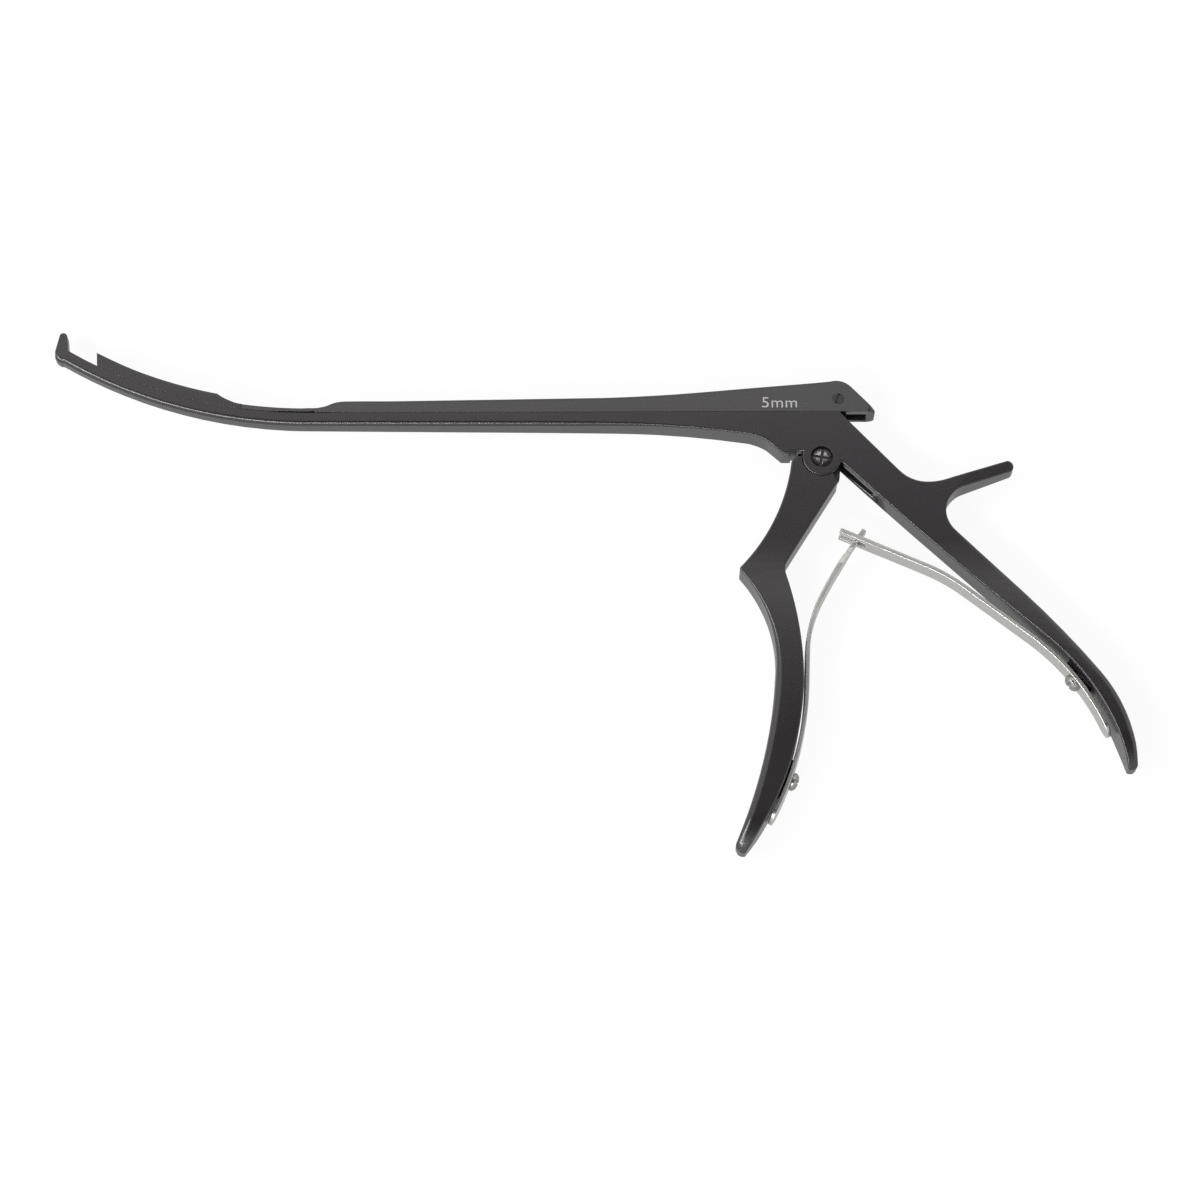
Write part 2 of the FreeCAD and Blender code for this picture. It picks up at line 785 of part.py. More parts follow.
def build_jaw():
    """Cutting jaw: the front of the upper shaft, curved with the bend and hollow at its cutting end."""
    body = new_body("jaw")
    low = size("bend_radius") - size("slide_gap")
    high = low - size("band_thickness")
    top = size("bend_radius") - size("jaw_depth")
    half = (high + top) / 2
    outline_pad(body, "jaw_bar", [
        (*on_bend(high, size("band_end")), size("heel_radius")),
        (*on_bend(half, size("heel_mid")), -size("heel_radius")),
        (*on_bend(top, size("heel_end")), -top),
        on_bend(top, size("jaw_top_angle")),
        (*on_bend(low, size("jaw_edge_angle")), low),
        on_bend(low, size("band_end")),
    ], plate_low, size("plate_width"))
    thin_shaft(body)
    floor = low - size("cup_floor")
    roof = floor - size("cup_depth")
    back = size("jaw_edge_angle") - size("cup_angle")
    ahead = size("jaw_top_angle") + 1
    outline_cut(body, "cup", [
        (*on_bend(roof, back), -roof),
        on_bend(roof, ahead),
        (*on_bend(floor, ahead), floor),
        (*on_bend(floor, back), -(size("cup_depth") / 2 + size("fit_gap"))),
    ], middle - size("cup_width") / 2, size("cup_width"))
    add_rail(body, "jaw_rail")
    return body


def build_front_handle():
    """Front handle, its stop shoulder, and the thin lug that drives the slide."""
    body = new_body("front_handle")
    clear = lobe + size("lobe_gap")
    cheek_y = -root(clear * clear - size("cheek_end_x") * size("cheek_end_x"))
    shelf = size("stop_top_y")
    hook_top = size("hook_y") + size("hook_height")
    outline_pad(body, "grip", [
        (-root(clear * clear - shelf * shelf), shelf, clear),
        (0, -clear, clear),
        (size("cheek_end_x"), cheek_y),
        spot("hip"),
        (*spot("valley_top"), size("valley_radius")),
        (*spot("valley"), -size("front_belly_radius")),
        (*spot("front_inner"), -size("front_arc_radius")),
        (*spot("front_end"), -size("front_tip_round")),
        (*spot("front_tip"), size("palm_radius")),
        (*spot("palm"), size("hook_radius")),
        (*spot("hook"), -size("hook_round")),
        (size("hook_x"), hook_top, size("brow_radius")),
        spot("brow"),
        spot("stop"),
        (size("stop_top_x"), shelf),
    ], plain(0), size("grip_width"))
    flare_grips(body)
    pin = spot("coupling")
    end = size("lug_end_radius")
    boss = size("lug_boss_radius")
    hub = (plain(0), plain(0))
    outline_pad(body, "lug", [
        spot("lug_root"),
        around(hub, boss, plain(10)),
        (*around(pin, end, plain(-8)), end),
        (*around(pin, end, plain(80)), end),
        around(pin, end, plain(165)),
        (*around(hub, boss, plain(150)), boss),
        around(hub, boss, plain(180)),
        (-boss, size("lug_foot_y")),
        (size("cheek_end_x") - 2, size("lug_foot_y")),
    ], middle - size("lug_thickness") / 2, size("lug_thickness"))
    round_hole(body, "pivot_bore", 0, 0, size("pivot_shank") / 2 + size("running_gap"), plain(0),
               size("grip_width"))
    arm = root(pin[0] * pin[0] + pin[1] * pin[1])
    ux, uy = pin[0] / arm, pin[1] / arm
    near = (pin[0] - ux * size("pin_play"), pin[1] - uy * size("pin_play"))
    bore = size("coupling_screw") / 2 + size("running_gap")
    outline_cut(body, "pin_slot", [
        (pin[0] + uy * bore, pin[1] - ux * bore, bore),
        (pin[0] + ux * bore, pin[1] + uy * bore, bore),
        (pin[0] - uy * bore, pin[1] + ux * bore),
        (near[0] - uy * bore, near[1] + ux * bore, bore),
        (near[0] - ux * bore, near[1] - uy * bore, bore),
        (near[0] + uy * bore, near[1] - ux * bore),
    ], plain(0), size("grip_width"))
    seat_block(body, front_centre, size("front_arc_radius"), size("front_seat"), -size("front_screw_angle"),
               "leaf_seat")
    screw_hole(body, front_centre, size("front_arc_radius") + size("front_seat"), -size("front_screw_angle"),
               False, "leaf_screw_hole")
    return body


def build_pivot_screw():
    """Pivot screw: domed head with crossed slots in the near cheek, plain shank through lug and far cheek."""
    body = new_body("pivot_screw")
    sketch = new_sketch(body, "screw_profile", "XZ_Plane")
    seat = plate_high - size("counterbore_depth")
    head = size("pivot_head") / 2
    crown = seat + size("head_height")
    dome = (head * head / size("head_dome") + size("head_dome")) / 2
    draw(sketch, [
        (0, plate_low),
        (size("pivot_shank") / 2, plate_low),
        (size("pivot_shank") / 2, seat),
        (head, seat),
        (head, crown - size("head_dome"), dome),
        (0, crown),
    ])
    feature = body.newObject("PartDesign::Revolution", "screw")
    feature.Profile = sketch
    feature.ReferenceAxis = (sketch, ["V_Axis"])
    feature.Angle = 360
    doc.recompute()
    half = size("slot_width") / 2
    for name, lean in (("slot_a", 80.0), ("slot_b", 170.0)):
        ux, uy = math.cos(math.radians(lean)), math.sin(math.radians(lean))
        long = head + 1
        outline_cut(body, name, [
            (long * ux + half * uy, long * uy - half * ux),
            (long * ux - half * uy, long * uy + half * ux),
            (-long * ux - half * uy, -long * uy + half * ux),
            (-long * ux + half * uy, -long * uy - half * ux),
        ], crown - size("slot_depth"), size("head_height"))
    return body


def build_coupling_screw():
    """Headless screw through the slide's cheeks and the lug's oval hole."""
    body = new_body("coupling_screw")
    place(body, *spot("coupling"))
    sketch = new_sketch(body, "pin_outline", "XY_Plane", plate_low)
    ring(sketch, 0, 0, size("coupling_screw") / 2)
    pad(body, sketch, "pin", size("plate_width"))
    half = size("slot_width") / 2
    long = size("coupling_screw")
    ux, uy = math.cos(math.radians(72)), math.sin(math.radians(72))
    outline_cut(body, "slot", [
        (long * ux + half * uy, long * uy - half * ux),
        (long * ux - half * uy, long * uy + half * ux),
        (-long * ux - half * uy, -long * uy + half * ux),
        (-long * ux + half * uy, -long * uy - half * ux),
    ], plate_high - size("slot_depth"), size("head_height"))
    return body


def build_rear_leaf():
    """Rear leaf spring, screwed to the rear handle, forked at its free end."""
    body = new_body("rear_leaf_spring")
    radius = size("rear_arc_radius") - size("rear_seat") - size("leaf_thickness") / 2 - size("fit_gap")
    tail = size("rear_leaf_tail")
    corners, tip, heading = ribbon(around(rear_centre, radius, tail), tail + 90, [
        (radius, size("rear_leaf_lift") - tail),
        (size("rear_leaf_run"),),
        (size("rear_leaf_bend_radius"), size("rear_leaf_turn")),
        (size("rear_leaf_reach"),),
    ], size("leaf_thickness"))
    low = middle - size("leaf_width") / 2
    outline_pad(body, "leaf", corners, low, size("leaf_width"))
    sketch = new_sketch(body, "fork_outline", "XY_Plane", middle - size("fork_slot") / 2)
    ring(sketch, *tip, size("fork_length"))
    pocket(body, sketch, "fork", size("fork_slot"), reverse=True)
    leaf_screw_hole(body, rear_centre, radius, size("rear_screw_angle"))
    round_tail(body, around(rear_centre, radius, tail))
    return body


def leaf_screw_hole(body, centre, radius, degrees):
    """The leaf's own hole for its screw."""
    half = size("leaf_thickness")
    bore = size("leaf_screw_shank") / 2 + size("fit_gap")
    turned(body, "screw_hole", around(centre, radius, degrees), degrees,
           [(-half, 0), (-half, bore), (half, bore), (half, 0)], cut=True)


def round_tail(body, tail):
    """The leaf's screwed end, rounded across its width."""
    x, y = tail[0].value, tail[1].value
    radius = size("leaf_width") / 2 - size("fit_gap") * 2
    reach = size("leaf_thickness").value
    round_edges(body, "tail_round", radius, lambda point, edge: math.hypot(point.x - x, point.y - y) < reach
                and abs(point.z - middle.value) > radius.value / 2)


def build_front_leaf():
    """Front leaf spring, screwed to the front handle, with a tongue through the rear leaf's fork."""
    body = new_body("front_leaf_spring")
    radius = size("front_arc_radius") + size("front_seat") + size("leaf_thickness") / 2 + size("fit_gap")
    tail = -size("front_leaf_tail")
    corners, tip, heading = ribbon(around(front_centre, radius, tail), tail + 90, [
        (radius, size("front_leaf_tail") + size("front_leaf_lift")),
        (size("front_leaf_run"),),
        (-size("front_leaf_bend_radius"), -size("front_leaf_turn")),
        (-size("front_leaf_bow_radius"), -size("front_leaf_bow")),
    ], size("leaf_thickness"))
    low = middle - size("leaf_width") / 2
    outline_pad(body, "leaf", corners, low, size("leaf_width"))
    reach = size("bend_start")
    for name, side in (("tongue_under", -1), ("tongue_over", 1)):
        sketch = new_sketch(body, name + "_outline", "YZ_Plane", reach)
        draw(sketch, [
            (-size("tongue_root"), middle + side * size("leaf_width") / 2),
            (-size("tongue_start"), middle + side * size("tongue_width") / 2),
            (0, middle + side * size("tongue_width") / 2),
            (0, middle + side * size("grip_width")),
            (-size("tongue_root"), middle + side * size("grip_width")),
        ])
        pocket(body, sketch, name, reach * 2)
    leaf_screw_hole(body, front_centre, radius, -size("front_screw_angle"))
    round_tail(body, around(front_centre, radius, tail))
    return body


def build_leaf_screw(label, centre, surface, degrees, heading):
    """Domed, slotted screw that holds a leaf spring to its seat."""
    body = new_body(label)
    head = size("leaf_screw_head") / 2
    tall = size("leaf_screw_height")
    shank = size("leaf_screw_shank") / 2
    depth = size("leaf_screw_depth")
    leaf = size("leaf_thickness") + size("fit_gap") * 4
    start = around(centre, surface, degrees)
    turned(body, "screw", start, heading, [
        (depth, 0), (depth, shank), (-leaf, shank), (-leaf, head), (-leaf - tall * 0.45, head),
        (-leaf - tall * 0.85, head * 0.72), (-leaf - tall, head * 0.3), (-leaf - tall, 0)])
    ux, uy = cosine(heading), sine(heading)
    half = size("slot_width") / 2
    near, far = -leaf - tall + size("slot_depth"), -leaf - tall * 2
    outline_cut(body, "slot", [
        (start[0] + ux * near - uy * half, start[1] + uy * near + ux * half),
        (start[0] + ux * far - uy * half, start[1] + uy * far + ux * half),
        (start[0] + ux * far + uy * half, start[1] + uy * far - ux * half),
        (start[0] + ux * near + uy * half, start[1] + uy * near - ux * half),
    ], plain(0), size("grip_width"))
    return body


parts = [
    build_body(),
    build_slide(),
    build_band(),
    build_jaw(),
    build_front_handle(),
    build_pivot_screw(),
    build_coupling_screw(),
    build_rear_leaf(),
    build_front_leaf(),
    build_leaf_screw("rear_leaf_screw", rear_centre, size("rear_arc_radius") - size("rear_seat"),
                     size("rear_screw_angle"), size("rear_screw_angle")),
    build_leaf_screw("front_leaf_screw", front_centre, size("front_arc_radius") + size("front_seat"),
                     -size("front_screw_angle"), 180 - size("front_screw_angle")),
]
doc.recompute()

for item in doc.Objects:
    if {"Invalid", "Error"} & set(item.State):
        raise RuntimeError("%s failed: %s" % (item.Label, item.State))
for part in parts:
    if part.Shape.isNull() or not part.Shape.isValid() or len(part.Shape.Solids) != 1:
        raise RuntimeError("%s is not one valid solid" % part.Label)

os.makedirs("parts", exist_ok=True)
for part in parts:
    part.Shape.exportStep("parts/%s.step" % part.Label)
    print("%s: %.1f cubic mm" % (part.Label, part.Shape.Volume))
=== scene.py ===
import json
import math

import bmesh
import bpy
from mathutils import Matrix, Vector
from mathutils.kdtree import KDTree


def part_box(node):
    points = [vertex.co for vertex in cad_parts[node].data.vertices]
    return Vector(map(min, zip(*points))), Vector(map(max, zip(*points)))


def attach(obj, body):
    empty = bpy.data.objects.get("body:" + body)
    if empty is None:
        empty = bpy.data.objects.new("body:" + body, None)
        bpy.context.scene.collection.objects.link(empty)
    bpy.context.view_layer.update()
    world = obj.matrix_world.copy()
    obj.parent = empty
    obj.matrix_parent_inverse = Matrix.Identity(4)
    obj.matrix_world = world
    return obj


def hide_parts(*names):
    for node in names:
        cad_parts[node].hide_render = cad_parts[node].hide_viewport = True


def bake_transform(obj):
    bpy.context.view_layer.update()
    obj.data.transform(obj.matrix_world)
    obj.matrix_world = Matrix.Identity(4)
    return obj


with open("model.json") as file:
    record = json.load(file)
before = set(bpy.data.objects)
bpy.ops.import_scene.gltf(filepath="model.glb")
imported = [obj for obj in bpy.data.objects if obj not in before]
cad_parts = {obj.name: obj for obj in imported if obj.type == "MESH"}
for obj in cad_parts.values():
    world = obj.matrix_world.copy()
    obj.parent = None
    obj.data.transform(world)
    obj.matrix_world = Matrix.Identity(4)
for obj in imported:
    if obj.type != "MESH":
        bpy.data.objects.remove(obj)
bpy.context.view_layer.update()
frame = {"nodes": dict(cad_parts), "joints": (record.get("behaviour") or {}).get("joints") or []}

bl_info = {
    "name": "Bone rongeur",
    "version": (1, 0, 0),
    "blender": (4, 5, 0),
    "location": "View3D > Sidebar > Rongeur",
    "description": "Dresses the curved-shaft bone rongeur with its finishes, roundings and springs",
    "category": "Add Mesh",
}

MM = 0.001

# Places on the tool, in millimetres from the pivot's axis. Heights are from the resting plane.
PARTING = 11.7
BEND_X, BEND_Y = -126.0, 128.1
BEND_RADIUS = 116.4
PLATE_HALF = 4.0
GRIP_HALF = 5.5
MIDDLE = GRIP_HALF * MM
# The grips widen from the plate's 8 mm to 11 mm in one long arc between these two places.
FLARE_START = -27.0
FLARE_END = -70.0
# Every edge first gets a bevel this wide, which then grows to its own radius.
SEED = 0.06
SHARP_EDGE = math.radians(28)


def hinge_place():
    """The pivot screw's axis in plan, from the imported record."""
    for joint in frame["joints"]:
        if joint["name"] == "handle_hinge":
            return Vector((joint["pos_m"][0], joint["pos_m"][1], 0.0))
    raise RuntimeError("the frame has no handle hinge")


PIVOT = hinge_place()


def at(x, y, z=0.0):
    """A place in millimetres from the pivot's axis, on the resting plane, as metres in the row frame."""
    return PIVOT + Vector((x, y, z)) * MM


def srgb(code):
    """An sRGB hex colour as linear red, green and blue."""
    parts = [int(code[i:i + 2], 16) / 255 for i in (1, 3, 5)]
    return tuple(p / 12.92 if p <= 0.04045 else ((p + 0.055) / 1.055) ** 2.4 for p in parts)


class RongeurSizes(bpy.types.PropertyGroup):
    edge_break: bpy.props.FloatProperty(
        name="Edge break", description="Small rounding on every machined edge",
        default=0.4 * MM, unit="LENGTH", precision=5)
    grip_rounding: bpy.props.FloatProperty(
        name="Grip rounding", description="Rounding along the grips' outer edges",
        default=1.7 * MM, unit="LENGTH", precision=5)
    shaft_rounding: bpy.props.FloatProperty(
        name="Shaft rounding", description="Rounding along the underside of the lower shaft",
        default=1.1 * MM, unit="LENGTH", precision=5)
    top_rounding: bpy.props.FloatProperty(
        name="Top rounding", description="Rounding along the back of the upper shaft",
        default=0.8 * MM, unit="LENGTH", precision=5)
    fine_edge: bpy.props.FloatProperty(
        name="Fine edge", description="Edge break where two pieces meet and round the bores",
        default=0.06 * MM, unit="LENGTH", precision=5)
    flank_lean: bpy.props.FloatProperty(
        name="Flank lean", description="Share by which the upper shaft narrows for each millimetre of height",
        default=0.013, precision=4)
    leaf_break: bpy.props.FloatProperty(
        name="Leaf edge break", description="Rounding on the edges of the leaf springs",
        default=0.24 * MM, unit="LENGTH", precision=5)
    mark_height: bpy.props.FloatProperty(
        name="Mark height", description="Height of the figure in the bite size mark",
        default=2.75 * MM, unit="LENGTH", precision=5)


class RongeurColours(bpy.types.PropertyGroup):
    coating: bpy.props.FloatVectorProperty(
        name="Coating", description="Black satin coating of the forged pieces",
        default=srgb("#211d20"), size=3, subtype="COLOR", min=0, max=1)
    spring: bpy.props.FloatVectorProperty(
        name="Spring steel", description="Bare satin steel of the leaf springs",
        default=srgb("#dddcd9"), size=3, subtype="COLOR", min=0, max=1)
    screw: bpy.props.FloatVectorProperty(
        name="Screw steel", description="Turned steel of the screws",
        default=srgb("#b5b4b2"), size=3, subtype="COLOR", min=0, max=1)
    mark: bpy.props.FloatVectorProperty(
        name="Mark", description="Etched bite size mark",
        default=srgb("#b9b7b8"), size=3, subtype="COLOR", min=0, max=1)
    paper: bpy.props.FloatVectorProperty(
        name="Paper", description="White paper that the tool lies on",
        default=srgb("#f7f7f7"), size=3, subtype="COLOR", min=0, max=1)


def add(tree, kind, settings=None, links=None):
    """Adds one node. Settings go to its own values or its sockets; links name what feeds a socket."""
    node = tree.nodes.new(kind)
    for key, value in (settings or {}).items():
        if isinstance(key, str) and hasattr(node, key):
            setattr(node, key, value)
        else:
            node.inputs[key].default_value = value
    for key, source in (links or {}).items():
        tree.links.new(source, node.inputs[key])
    return node


def new_material(name):
    """An empty node material with that name."""
    material = bpy.data.materials.new(name)
    material.use_nodes = True
    material.node_tree.nodes.clear()
    return material


def black_satin_coating_and_recess_shade(colour):
    # Forged stainless steel, bead blasted and then coated black by vapour deposition.
    # Nearly black with a brown-violet tinge face on, soft grey sheen where it is seen at a slant.
    # The same material also darkens the pivot screw's head recess, as painted shade.
    material = new_material("black_satin_coating_and_recess_shade")
    tree = material.node_tree
    place = add(tree, "ShaderNodeTexCoord")
    # Blasting grain is about 0.05 mm; drawn at 0.25 mm so that it shows.
    grain = add(tree, "ShaderNodeTexNoise", {"Scale": 4000.0, "Detail": 3.0, "Roughness": 0.6},
                {"Vector": place.outputs["Object"]})
    # The coating's tone drifts over some 15 mm.
    drift = add(tree, "ShaderNodeTexNoise", {"Scale": 65.0, "Detail": 2.0, "Roughness": 0.5},
                {"Vector": place.outputs["Object"]})
    deep = tuple(c * 0.8 for c in colour) + (1.0,)
    light = tuple(min(1.0, c * 1.25) for c in colour) + (1.0,)
    tone = add(tree, "ShaderNodeMix", {"data_type": "RGBA", 6: deep, 7: light}, {0: drift.outputs["Fac"]})
    gloss = add(tree, "ShaderNodeMapRange",
                {"From Min": 0.3, "From Max": 0.7, "To Min": 0.22, "To Max": 0.3},
                {"Value": grain.outputs["Fac"]})
    relief = add(tree, "ShaderNodeBump", {"Strength": 0.05, "Distance": 0.00002},
                 {"Height": grain.outputs["Fac"]})
    shader = add(tree, "ShaderNodeBsdfPrincipled", {"Metallic": 0.0, "IOR": 1.7},
                 {"Base Color": tone.outputs[2], "Roughness": gloss.outputs[0], "Normal": relief.outputs[0]})
    add(tree, "ShaderNodeOutputMaterial", None, {"Surface": shader.outputs[0]})
    return material


def satin_spring_steel(colour):
    # Rolled stainless spring strip, satin brushed along its length: even light grey, blurred reflections.
    material = new_material("satin_spring_steel")
    tree = material.node_tree
    place = add(tree, "ShaderNodeTexCoord")
    # Brush lines 0.08 mm apart, drawn at 0.3 mm so that they show; they run along the strip.
    stretch = add(tree, "ShaderNodeMapping", {"Scale": (60.0, 60.0, 3300.0)},
                  {"Vector": place.outputs["Object"]})
    lines = add(tree, "ShaderNodeTexNoise", {"Scale": 1.0, "Detail": 3.0, "Roughness": 0.6},
                {"Vector": stretch.outputs[0]})
    dull = tuple(c * 0.84 for c in colour) + (1.0,)
    tone = add(tree, "ShaderNodeMix", {"data_type": "RGBA", 6: dull, 7: tuple(colour) + (1.0,)},
               {0: lines.outputs["Fac"]})
    gloss = add(tree, "ShaderNodeMapRange",
                {"From Min": 0.3, "From Max": 0.7, "To Min": 0.32, "To Max": 0.42},
                {"Value": lines.outputs["Fac"]})
    relief = add(tree, "ShaderNodeBump", {"Strength": 0.12, "Distance": 0.00002},
                 {"Height": lines.outputs["Fac"]})
    shader = add(tree, "ShaderNodeBsdfPrincipled", {"Metallic": 1.0},
                 {"Base Color": tone.outputs[2], "Roughness": gloss.outputs[0], "Normal": relief.outputs[0]})
    add(tree, "ShaderNodeOutputMaterial", None, {"Surface": shader.outputs[0]})
    return material


def turned_screw_steel(colour):
    # Stainless screws, turned and lightly tumbled: brighter than the strip, with fine mottling.
    material = new_material("turned_screw_steel")
    tree = material.node_tree
    place = add(tree, "ShaderNodeTexCoord")
    # Tumbling marks about 0.2 mm across.
    marks = add(tree, "ShaderNodeTexNoise", {"Scale": 5000.0, "Detail": 2.0, "Roughness": 0.5},
                {"Vector": place.outputs["Object"]})
    dull = tuple(c * 0.7 for c in colour) + (1.0,)
    tone = add(tree, "ShaderNodeMix", {"data_type": "RGBA", 6: dull, 7: tuple(colour) + (1.0,)},
               {0: marks.outputs["Fac"]})
    relief = add(tree, "ShaderNodeBump", {"Strength": 0.15, "Distance": 0.00002},
                 {"Height": marks.outputs["Fac"]})
    shader = add(tree, "ShaderNodeBsdfPrincipled", {"Metallic": 1.0, "Roughness": 0.33},
                 {"Base Color": tone.outputs[2], "Normal": relief.outputs[0]})
    add(tree, "ShaderNodeOutputMaterial", None, {"Surface": shader.outputs[0]})
    return material


def etched_mark(colour):
    # Laser-etched figure: the coating is roughened to a matt light grey.
    material = new_material("etched_mark")
    tree = material.node_tree
    place = add(tree, "ShaderNodeTexCoord")
    # Laser spots about 0.1 mm apart.
    spots = add(tree, "ShaderNodeTexNoise", {"Scale": 9000.0, "Detail": 1.0},
                {"Vector": place.outputs["Object"]})
    thin = tuple(c * 0.6 for c in colour) + (1.0,)
    tone = add(tree, "ShaderNodeMix", {"data_type": "RGBA", 6: thin, 7: tuple(colour) + (1.0,)},
               {0: spots.outputs["Fac"]})
    shader = add(tree, "ShaderNodeBsdfPrincipled", {"Metallic": 0.0, "Roughness": 0.7},
                 {"Base Color": tone.outputs[2]})
    add(tree, "ShaderNodeOutputMaterial", None, {"Surface": shader.outputs[0]})
    return material


def finish_named(name):
    """The material with that name, made when it is first asked for."""
    colours = bpy.context.scene.rongeur_colours
    makers = {
        "black_satin_coating_and_recess_shade": (black_satin_coating_and_recess_shade, colours.coating),
        "satin_spring_steel": (satin_spring_steel, colours.spring),
        "turned_screw_steel": (turned_screw_steel, colours.screw),
        "etched_mark": (etched_mark, colours.mark),
    }
    if name in bpy.data.materials:
        return bpy.data.materials[name]
    maker, colour = makers[name]
    return maker(tuple(colour))


def half_width(y):
    """Half the tool's width across the grips, y millimetres from the pivot."""
    run = FLARE_START - FLARE_END
    swell = GRIP_HALF - PLATE_HALF
    radius = (run * run / swell + swell) / 2
    reach = min(max(y - FLARE_END, 0.0), run)
    return GRIP_HALF - radius + math.sqrt(radius * radius - reach * reach)


def eased_width(y):
    """The same half width, with the crease where the flare starts smoothed over 12 mm."""
    start, end = FLARE_START + 6.0, FLARE_START - 6.0
    if not end < y < start:
        return half_width(y)
    share = (start - y) / (start - end)
    slope = half_width(end - 0.5) - half_width(end + 0.5)
    rise = share * share * (3 - 2 * share)
    return (PLATE_HALF + (half_width(end) - PLATE_HALF) * rise
            + slope * (start - end) * (share ** 3 - share ** 2))


def drawn_in(height, share):
    """The height that keeps only that share of its distance from the tool's middle plane."""
    return MIDDLE + (height - MIDDLE) * share


def spread(surface, widen):
    """Presses the grips' flare flat, or gives it back, so that edges are rounded on flat sides."""
    for vert in surface.verts:
        y = (vert.co.y - PIVOT.y) / MM
        share = eased_width(y) / PLATE_HALF if widen else PLATE_HALF / half_width(y)
        vert.co.z = drawn_in(vert.co.z, share)


def welded_copy(node, flared=True):
    """A CAD node's surface with its loose triangles joined and its flat faces made whole."""
    surface = bmesh.new()
    surface.from_mesh(frame["nodes"][node].data)
    bmesh.ops.remove_doubles(surface, verts=surface.verts, dist=0.05 * MM)
    if flared:
        spread(surface, False)
    bmesh.ops.dissolve_limit(surface, angle_limit=math.radians(0.4), verts=surface.verts,
                             edges=surface.edges, use_dissolve_boundaries=False, delimit=set())
    return surface


def rounded(surface, wanted, radius_at, segments=5):
    """Rounds the wanted sharp edges: each gets a small bevel, which grows to the radius of its place."""
    picked = []
    for edge in surface.edges:
        if len(edge.link_faces) != 2 or edge.calc_face_angle() < SHARP_EDGE:
            continue
        if wanted(((edge.verts[0].co + edge.verts[1].co) / 2 - PIVOT) / MM, edge):
            picked.append(edge)
    if not picked:
        raise RuntimeError("a rounding finds no edge")
    # Long edges are split every 2 mm, so that the radius can change along them.
    for edge in picked[:]:
        start = edge.verts[0]
        parts = int(edge.calc_length() / MM / 2.0) + 1
        for left in range(parts, 1, -1):
            piece, start = bmesh.utils.edge_split(edge, start, 1 / left)
            picked.append(piece)
    corners = dict.fromkeys(vert for edge in picked for vert in edge.verts)
    tree = KDTree(len(corners))
    for index, vert in enumerate(corners):
        tree.insert(vert.co, index)
    tree.balance()
    bmesh.ops.bevel(surface, geom=picked, offset=SEED * MM, offset_type="OFFSET", segments=segments,
                    profile=0.5, affect="EDGES", clamp_overlap=False, loop_slide=False, material=-1)
    # A bevel's own vertices lie within a few seeds of the corner that they came from.
    for vert in surface.verts:
        corner, _, distance = tree.find(vert.co)
        if distance < SEED * 6 * MM:
            vert.co = corner + (vert.co - corner) * radius_at((corner - PIVOT) / MM) / SEED
    return surface


def slice_across(surface, start, end, cuts, along_x=False):
    """Cuts the surface across at even steps between two places, so that it can curve."""
    for count in range(cuts + 1):
        run = start + (end - start) * count / cuts
        place, normal = (at(run, 0), (1, 0, 0)) if along_x else (at(0, run), (0, 1, 0))
        bmesh.ops.bisect_plane(surface, geom=surface.verts[:] + surface.edges[:] + surface.faces[:],
                               dist=0.002 * MM, plane_co=place, plane_no=normal)


def make_piece(name, surface, finishes, nodes=()):
    """A new object from a bmesh, with its materials, standing for the named CAD nodes."""
    mesh = bpy.data.meshes.new(name)
    for face in surface.faces:
        face.smooth = True
    surface.to_mesh(mesh)
    surface.free()
    piece = bpy.data.objects.new(name, mesh)
    bpy.context.scene.collection.objects.link(piece)
    for finish in finishes:
        mesh.materials.append(finish_named(finish))
    even = piece.modifiers.new("even_shading", "WEIGHTED_NORMAL")
    even.weight = 80
    if nodes:
        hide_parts(*nodes)
    return piece


def forged_piece(name, node, body, wanted, radius_at, lean=0.0, reshape=None):
    """A coated forging: the CAD node's surface with its edges rounded, then shaped further."""
    surface = rounded(welded_copy(node), wanted, radius_at)
    # Cross cuts let the flat sides follow the flare's arc.
    slice_across(surface, FLARE_START + 6, FLARE_END, 24)
    spread(surface, True)
    dome_end(surface, lowest(surface))
    for vert in surface.verts:
        vert.co.z = leaned(vert.co, lean)
    if reshape:
        reshape(surface)
    piece = make_piece(name, surface, ["black_satin_coating_and_recess_shade"], [node])
    if body:
        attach(piece, body)
    return piece


def lowest(surface):
    """How far the piece reaches below the pivot, in millimetres."""
    return min((vert.co.y - PIVOT.y) / MM for vert in surface.verts)


def dome_end(surface, end, reach=9.0, drop=3.4):
    """Rounds a grip's flat sides towards its end, over the last millimetres before it."""
    if end > FLARE_END:
        return
    slice_across(surface, end + 0.4, end + reach, 18)
    for vert in surface.verts:
        share = max(1 - ((vert.co.y - PIVOT.y) / MM - end) / reach, 0.0) ** 1.8
        vert.co.z = drawn_in(vert.co.z, 1 - share * drop / GRIP_HALF)


def leaned(place, lean):
    """The height of a place on a flank that leans in by that share for each millimetre above the parting."""
    return drawn_in(place.z, 1 - lean * max((place.y - PIVOT.y) / MM - PARTING, 0.0))


def bend_reach(spot):
    """Distance in millimetres from the centre of the shaft's bend."""
    return Vector((spot.x - BEND_X, spot.y - BEND_Y)).length


def on_flank(spot, edge, half=3.5):
    """True for an edge along the tool's side, half millimetres or more from its middle plane."""
    along = (edge.verts[0].co - edge.verts[1].co).normalized()
    return abs(along.z) < 0.9 and abs(spot.z - GRIP_HALF) > half


def ease(value, start, end):
    """0 before start, 1 after end, smooth between them."""
    share = min(max((value - start) / (end - start), 0.0), 1.0)
    return share * share * (3 - 2 * share)


